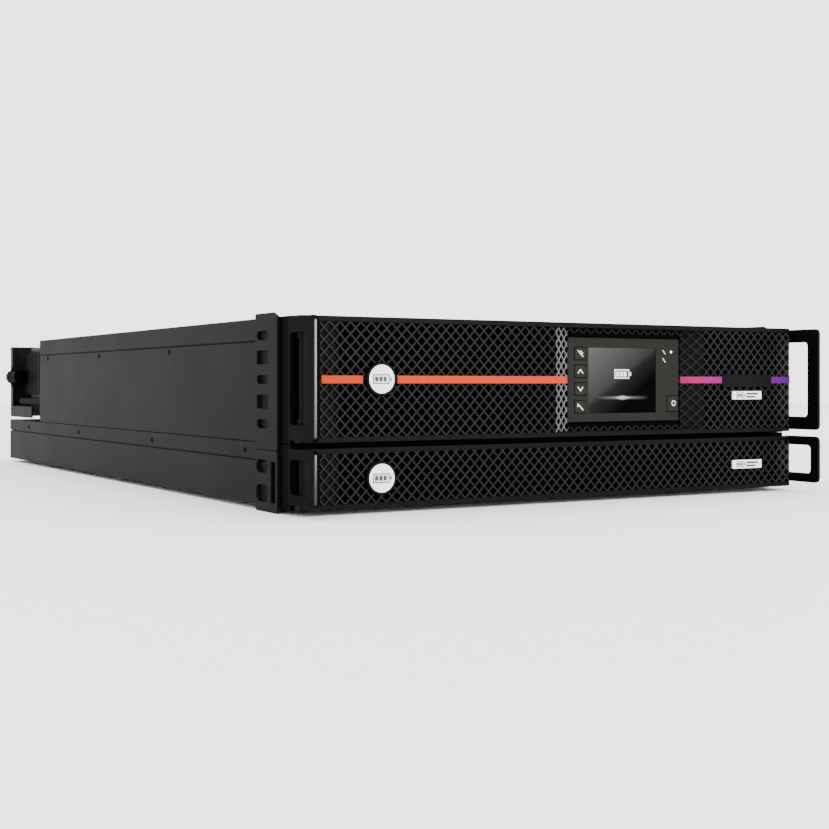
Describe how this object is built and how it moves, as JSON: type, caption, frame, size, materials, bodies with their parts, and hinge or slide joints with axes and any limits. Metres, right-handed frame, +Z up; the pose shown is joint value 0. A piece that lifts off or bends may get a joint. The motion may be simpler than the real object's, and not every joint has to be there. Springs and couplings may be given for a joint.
{
  "type": "rackmount ups",
  "caption": "Two-unit-high rack-mount uninterruptible power supply with grip handles, mesh bezel, display and keys, standing on a matching battery cabinet with a rear power distribution box.",
  "frame": {"origin": "centre of the bounding box in plan, on the underside of the rubber feet", "axes": "+Z up, +Y from the bezels to the rear, +X to the right as seen from the front"},
  "size_m": [0.4444, 0.7754, 0.1326],
  "materials": {
    "casing_paint": "fine-textured dark grey-olive powder coat",
    "frame_black": "satin black paint",
    "bezel_plastic": "satin black moulding",
    "grille_black": "satin black mesh",
    "handle_black": "semi-gloss black powder coat",
    "display_plastic": "fine-textured dark warm grey",
    "screen_glass": "glossy dark window",
    "button_plastic": "satin dark grey keycap",
    "led_white": "clear white lens",
    "stripe_orange": "orange inlay",
    "stripe_magenta": "magenta to purple inlay",
    "badge_white": "white satin",
    "circuit_board": "green solder mask",
    "bare_aluminium": "extruded, plain",
    "coil_lacquer": "varnished winding",
    "battery_wrap": "dark blue wrap",
    "black_plastic": "moulded black",
    "rubber": "black rubber"
  },
  "bodies": {
    "casing": {"ups_chassis": "casing_paint", "ups_top_cover": "casing_paint", "ups_front_frame": "frame_black", "ups_rear_panel": "casing_paint", "ups_ear_left": "casing_paint", "ups_ear_right": "casing_paint", "ups_handle_left": "handle_black", "ups_handle_right": "handle_black", "display_housing": "display_plastic", "display_screen": "screen_glass", "status_led": "led_white", "main_board": "circuit_board", "heatsink": "bare_aluminium", "transformer": "coil_lacquer", "capacitor_bank": "battery_wrap", "ups_battery_pack": "battery_wrap", "fan_housing_1": "black_plastic", "fan_housing_2": "black_plastic", "network_card": "circuit_board", "ups_battery_socket": "black_plastic", "battery_chassis": "casing_paint", "battery_top_cover": "casing_paint", "battery_front_frame": "frame_black", "battery_rear_panel": "casing_paint", "battery_ear_left": "casing_paint", "battery_ear_right": "casing_paint", "battery_handle_left": "handle_black", "battery_handle_right": "handle_black", "battery_pack_1": "battery_wrap", "battery_pack_2": "battery_wrap", "battery_management_board": "circuit_board", "battery_socket": "black_plastic", "battery_breaker": "black_plastic", "foot_1": "rubber", "foot_2": "rubber", "foot_3": "rubber", "foot_4": "rubber"},
    "ups_front": {"ups_bezel": "bezel_plastic", "ups_grille": "grille_black", "stripe_left": "stripe_orange", "stripe_right": "stripe_magenta", "name_plate": "grille_black", "ups_badge": "badge_white"},
    "battery_front": {"battery_bezel": "bezel_plastic", "battery_grille": "grille_black", "battery_badge": "badge_white"},
    "escape_key": {"button_escape": "button_plastic"},
    "up_key": {"button_up": "button_plastic"},
    "down_key": {"button_down": "button_plastic"},
    "enter_key": {"button_enter": "button_plastic"},
    "power_key": {"power_button": "button_plastic"},
    "fan_1": {"fan_rotor_1": "black_plastic"},
    "fan_2": {"fan_rotor_2": "black_plastic"},
    "distribution": {"distribution_box": "black_plastic", "distribution_plate": "casing_paint", "cable_gland": "black_plastic", "outlet_block": "black_plastic", "input_breaker": "black_plastic"},
    "input_toggle": {"input_breaker_lever": "badge_white"},
    "battery_toggle": {"battery_breaker_lever": "badge_white"}
  },
  "joints": [
    {"name": "ups_bezel_pull", "type": "slide", "parent": "casing", "child": "ups_front", "axis": [0, -1, 0], "range_m": [0, 0.06]},
    {"name": "battery_bezel_pull", "type": "slide", "parent": "casing", "child": "battery_front", "axis": [0, -1, 0], "range_m": [0, 0.06]},
    {"name": "escape_press", "type": "slide", "parent": "casing", "child": "escape_key", "axis": [0, 1, 0], "range_m": [0, 0.0012], "stiffness_N_per_m": 400},
    {"name": "up_press", "type": "slide", "parent": "casing", "child": "up_key", "axis": [0, 1, 0], "range_m": [0, 0.0012], "stiffness_N_per_m": 400},
    {"name": "down_press", "type": "slide", "parent": "casing", "child": "down_key", "axis": [0, 1, 0], "range_m": [0, 0.0012], "stiffness_N_per_m": 400},
    {"name": "enter_press", "type": "slide", "parent": "casing", "child": "enter_key", "axis": [0, 1, 0], "range_m": [0, 0.0012], "stiffness_N_per_m": 400},
    {"name": "power_press", "type": "slide", "parent": "casing", "child": "power_key", "axis": [0, 1, 0], "range_m": [0, 0.0012], "stiffness_N_per_m": 400},
    {"name": "fan_1_spin", "type": "hinge", "parent": "casing", "child": "fan_1", "pos_m": [0.052, 0.2352, 0.0896], "axis": [0, 1, 0], "continuous": true},
    {"name": "fan_2_spin", "type": "hinge", "parent": "casing", "child": "fan_2", "pos_m": [0.116, 0.2352, 0.0896], "axis": [0, 1, 0], "continuous": true},
    {"name": "distribution_box_pull", "type": "slide", "parent": "casing", "child": "distribution", "axis": [0, 1, 0], "range_m": [0, 0.06]},
    {"name": "input_breaker_toggle", "type": "hinge", "parent": "distribution", "child": "input_toggle", "pos_m": [-0.115, 0.3687, 0.0886], "axis": [1, 0, 0], "range_deg": [-60, 0]},
    {"name": "battery_breaker_toggle", "type": "hinge", "parent": "casing", "child": "battery_toggle", "pos_m": [0.161, 0.3567, 0.0246], "axis": [1, 0, 0], "range_deg": [-60, 0]}
  ]
}
